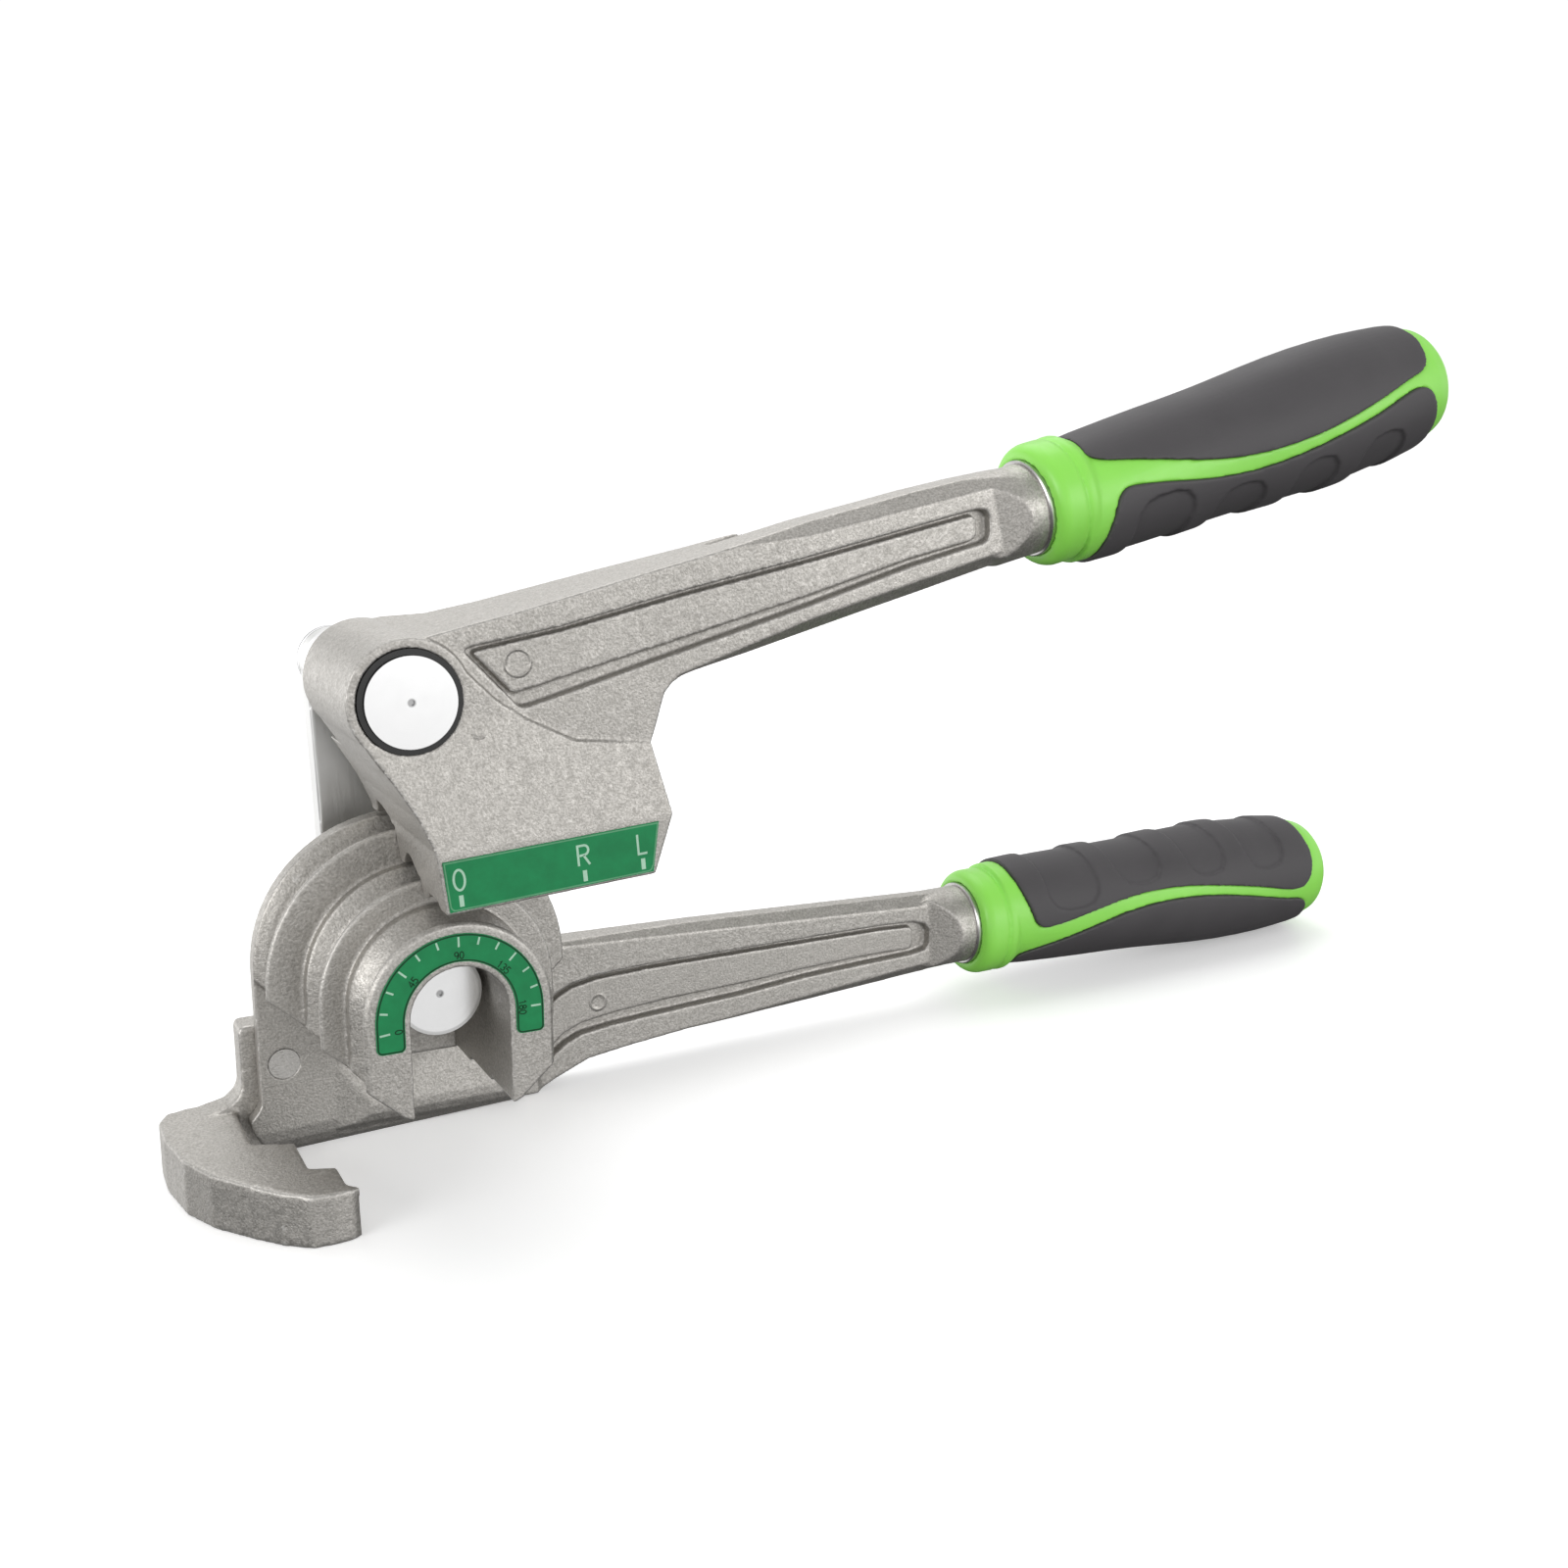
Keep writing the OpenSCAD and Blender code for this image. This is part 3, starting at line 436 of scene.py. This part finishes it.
def mark(bm, sign, at, size, turn, width, y):
    """Draws one sign with its baseline's middle at a point and turned by an angle in degrees."""
    c, s = math.cos(math.radians(turn)), math.sin(math.radians(turn))
    for k, line in enumerate(SHAPES[sign]):
        pts = [(at[0] + size * (u * c - v * s), at[1] + size * (u * s + v * c)) for u, v in line]
        stroke(bm, pts, width, y, k in CLOSED.get(sign, ()))


# The two films in mm, each with its depth along Y and a line inside its edge
LINE_INSET = LINE_WIDTH = 0.3

ARC_Y = -0.35
ARC_OUT, ARC_IN, ARC_FOOT, ARC_CORNER = 17.9, 11.9, -5.8, 0.9
TICK_COUNT, TOP_TICK = 13, 6
TICK_STEP, TICK_STEP_LEFT = 15, 15.9
TICK_OUT, TICK_IN, LONG_TICK_IN, TICK_WIDTH = 17.25, 15.6, 15.1, 0.42
NUMBERS = ("0", "45", "90", "135", "180")
NUMBER_R, NUMBER_SIZE, NUMBER_STEP, NUMBER_LINE = 12.55, 1.5, 1.05, 0.24

SHOE_Y, SHOE_TURN = -3.35, 4.5
SHOE_LOW, SHOE_HIGH, SHOE_LEFT, SHOE_RIGHT, SHOE_CORNER = 23.5, 34.2, -0.42, 44.5, 1.0
SHOE_HEIGHT = SHOE_HIGH - SHOE_LOW
SHOE_LEAN_LEFT, SHOE_LEAN_RIGHT = -0.4 / SHOE_HEIGHT, 2.2 / SHOE_HEIGHT
SIGNS = (("0", 2.2), ("R", 29.0), ("L", 42.2))
SIGN_FOOT, SIGN_SIZE, SIGN_LINE = 27.9, 4.3, 0.5
DASH_LOW, DASH_HIGH, DASH_WIDTH = 24.4, 26.8, 0.95


def round_arc(r, turn):
    """Point (x, z) at a radius and an angle in radians about the mandrel's axis."""
    return (r * math.cos(turn), r * math.sin(turn))


def tick_angle(k):
    """Angle in degrees of a tick, counted from the right end. Past the top they lie a little wider apart."""
    return TICK_STEP * k if k <= TOP_TICK else 90 + TICK_STEP_LEFT * (k - TOP_TICK)


def arc_ticks():
    bm = bmesh.new()
    for k in range(TICK_COUNT):
        a = math.radians(tick_angle(k))
        inner = LONG_TICK_IN if k % 3 == 0 else TICK_IN
        stroke(bm, [round_arc(inner, a), round_arc(TICK_OUT, a)], TICK_WIDTH, ARC_Y)
    piece("arc_ticks", bm, label_marks, "base")


def arc_numbers():
    """The numbers read from the left, one at every third tick."""
    bm = bmesh.new()
    for k, number in enumerate(NUMBERS):
        a = tick_angle(TICK_COUNT - 1 - 3 * k)
        for i, sign in enumerate(number):
            off = (i - (len(number) - 1) / 2) * NUMBER_STEP
            b = math.radians(a - math.degrees(off / NUMBER_R))
            mark(bm, sign, round_arc(NUMBER_R, b), NUMBER_SIZE, math.degrees(b) - 90, NUMBER_LINE, ARC_Y)
    piece("arc_numbers", bm, label_dark, "base")


def arc_outline():
    bm = bmesh.new()
    r_out, r_in, foot = ARC_OUT - LINE_INSET, ARC_IN + LINE_INSET, ARC_FOOT + LINE_INSET
    rc = ARC_CORNER
    edge = arc(0, 0, r_out, r_out, 0, 180, 60) + arc(-r_out + rc, foot + rc, rc, rc, 180, 270, 5)
    edge += arc(-r_in - rc, foot + rc, rc, rc, 270, 360, 5) + arc(0, 0, r_in, r_in, 180, 0, 48)
    edge += arc(r_in + rc, foot + rc, rc, rc, 180, 270, 5) + arc(r_out - rc, foot + rc, rc, rc, 270, 360, 5)
    stroke(bm, edge, LINE_WIDTH, ARC_Y, True)
    piece("arc_outline", bm, label_dark, "base")


def shoe(u, v):
    """Point (x, z) on the shoe's front face: u along the scale, v away from the mandrel's axis."""
    c, s = math.cos(math.radians(SHOE_TURN)), math.sin(math.radians(SHOE_TURN))
    return (c * u - s * v, s * u + c * v)


def shoe_marks():
    bm = bmesh.new()
    for sign, u in SIGNS:
        mark(bm, sign, shoe(u, SIGN_FOOT), SIGN_SIZE, SHOE_TURN, SIGN_LINE, SHOE_Y)
        stroke(bm, [shoe(u, DASH_LOW), shoe(u, DASH_HIGH)], DASH_WIDTH, SHOE_Y)
    piece("shoe_marks", bm, label_marks, "forming_lever")


def shoe_outline():
    bm = bmesh.new()
    lo, hi = SHOE_LOW + LINE_INSET, SHOE_HIGH - LINE_INSET
    left, right = SHOE_LEFT + LINE_INSET, SHOE_RIGHT - LINE_INSET
    rc = SHOE_CORNER
    edge = [shoe(left + SHOE_LEAN_LEFT * (v - lo), v) for v in (hi, lo + rc)]
    edge += [shoe(u, v) for u, v in arc(left + rc, lo + rc, rc, rc, 190, 270, 5)]
    edge += [shoe(u, v) for u, v in arc(right - rc, lo + rc, rc, rc, 270, 350, 5)]
    edge += [shoe(right + SHOE_LEAN_RIGHT * (v - lo), v) for v in (lo + rc + 0.3, hi)]
    stroke(bm, edge, LINE_WIDTH, SHOE_Y, True)
    piece("shoe_outline", bm, label_edge, "forming_lever")


arc_ticks()
arc_numbers()
arc_outline()
shoe_marks()
shoe_outline()

# The floor, in metres, with a little light of its own, as a lit table has
FLOOR_HALF, FLOOR_CELLS, FLOOR_LIGHT = 25.0, 10, 0.33


def stage_floor():
    bm = bmesh.new()
    n = FLOOR_CELLS
    line = [FLOOR_HALF * (2 * i / n - 1) for i in range(n + 1)]
    grid = [[bm.verts.new((x, y, 0)) for y in line] for x in line]
    for i in range(n):
        for j in range(n):
            bm.faces.new((grid[i][j], grid[i + 1][j], grid[i + 1][j + 1], grid[i][j + 1]))
    me = bpy.data.meshes.new("floor")
    bm.to_mesh(me)
    bm.free()
    m, t, b = new_material("floor_white")
    t.links.new(mix(t, noise(t, 3, 2), (0.89, 0.89, 0.89), (0.90, 0.90, 0.90)), b.inputs["Base Color"])
    b.inputs["Roughness"].default_value = 0.4
    b.inputs["Emission Color"].default_value = (1, 1, 1, 1)
    b.inputs["Emission Strength"].default_value = FLOOR_LIGHT
    me.materials.append(m)
    o = bpy.data.objects.new("floor", me)
    scene.collection.objects.link(o)
    # It is seen by the camera only and throws no light up on the tool
    o.visible_diffuse = o.visible_glossy = o.visible_shadow = False


# Soft boxes as (name, place, what it looks at, size), all in metres, and its power in watts
LAMPS = (
    ("top_back", (0.10, 0.45, 0.95), (0, 0, 0.05), (0.9, 0.7), 3.0),
    ("front_right", (0.62, -1.0, 0.36), (0, 0, 0.06), (0.8, 0.5), 2.6),
    ("left", (-1.15, -0.45, 0.45), (-0.08, 0, 0.06), (0.8, 0.6), 6.0),
)


def area(name, at, to, size, power):
    d = bpy.data.lights.new(name, "AREA")
    d.shape = "RECTANGLE"
    d.size, d.size_y = size
    d.energy = power
    o = bpy.data.objects.new(name, d)
    scene.collection.objects.link(o)
    o.location = at
    o.rotation_euler = (Vector(to) - Vector(at)).to_track_quat("-Z", "Y").to_euler()


# Surroundings: grey levels by the height of the direction, white at eye level and dark below, and soft
# bright cards as (direction, radius in degrees, strength)
SKY = ((-1.0, 0.08), (-0.18, 0.12), (-0.03, 1.0), (0.22, 1.0), (0.42, 0.55), (1.0, 0.5))
SKY_STRENGTH = 1.05
CARDS = (
    ((0.43, -0.87, -0.2), 38, 0.85),
    ((-0.42, -0.87, -0.2), 26, 0.7),
    ((-0.45, 0.87, -0.2), 36, 1.1),
    ((0.1, 0.6, 0.8), 45, 0.5),
)


def surroundings():
    w = bpy.data.worlds.new("studio")
    scene.world = w
    w.use_nodes = True
    t = w.node_tree
    t.nodes.clear()
    background = t.nodes.new("ShaderNodeBackground")
    out = t.nodes.new("ShaderNodeOutputWorld")
    toward = t.nodes.new("ShaderNodeTexCoord").outputs["Generated"]
    parts = t.nodes.new("ShaderNodeSeparateXYZ")
    t.links.new(toward, parts.inputs[0])
    height = span(t, parts.outputs["Z"], -1, 1, 0, 1)
    stops = [((z + 1) / 2, level) for z, level in SKY]
    light = math_node(t, "MULTIPLY", ramp(t, height, stops), SKY_STRENGTH)
    for way, radius, strength in CARDS:
        near = vector_node(t, "DOT_PRODUCT", toward, Vector(way).normalized()).outputs["Value"]
        glow = span(t, near, math.cos(math.radians(radius)), 1, 0, strength, "SMOOTHSTEP")
        light = math_node(t, "ADD", light, glow)
    t.links.new(light, background.inputs["Strength"])
    background.inputs["Color"].default_value = (1, 1, 1, 1)
    t.links.new(background.outputs[0], out.inputs["Surface"])


stage_floor()
for lamp in LAMPS:
    area(*lamp)
surroundings()
scene.view_settings.view_transform = "Standard"
scene.view_settings.look = "None"
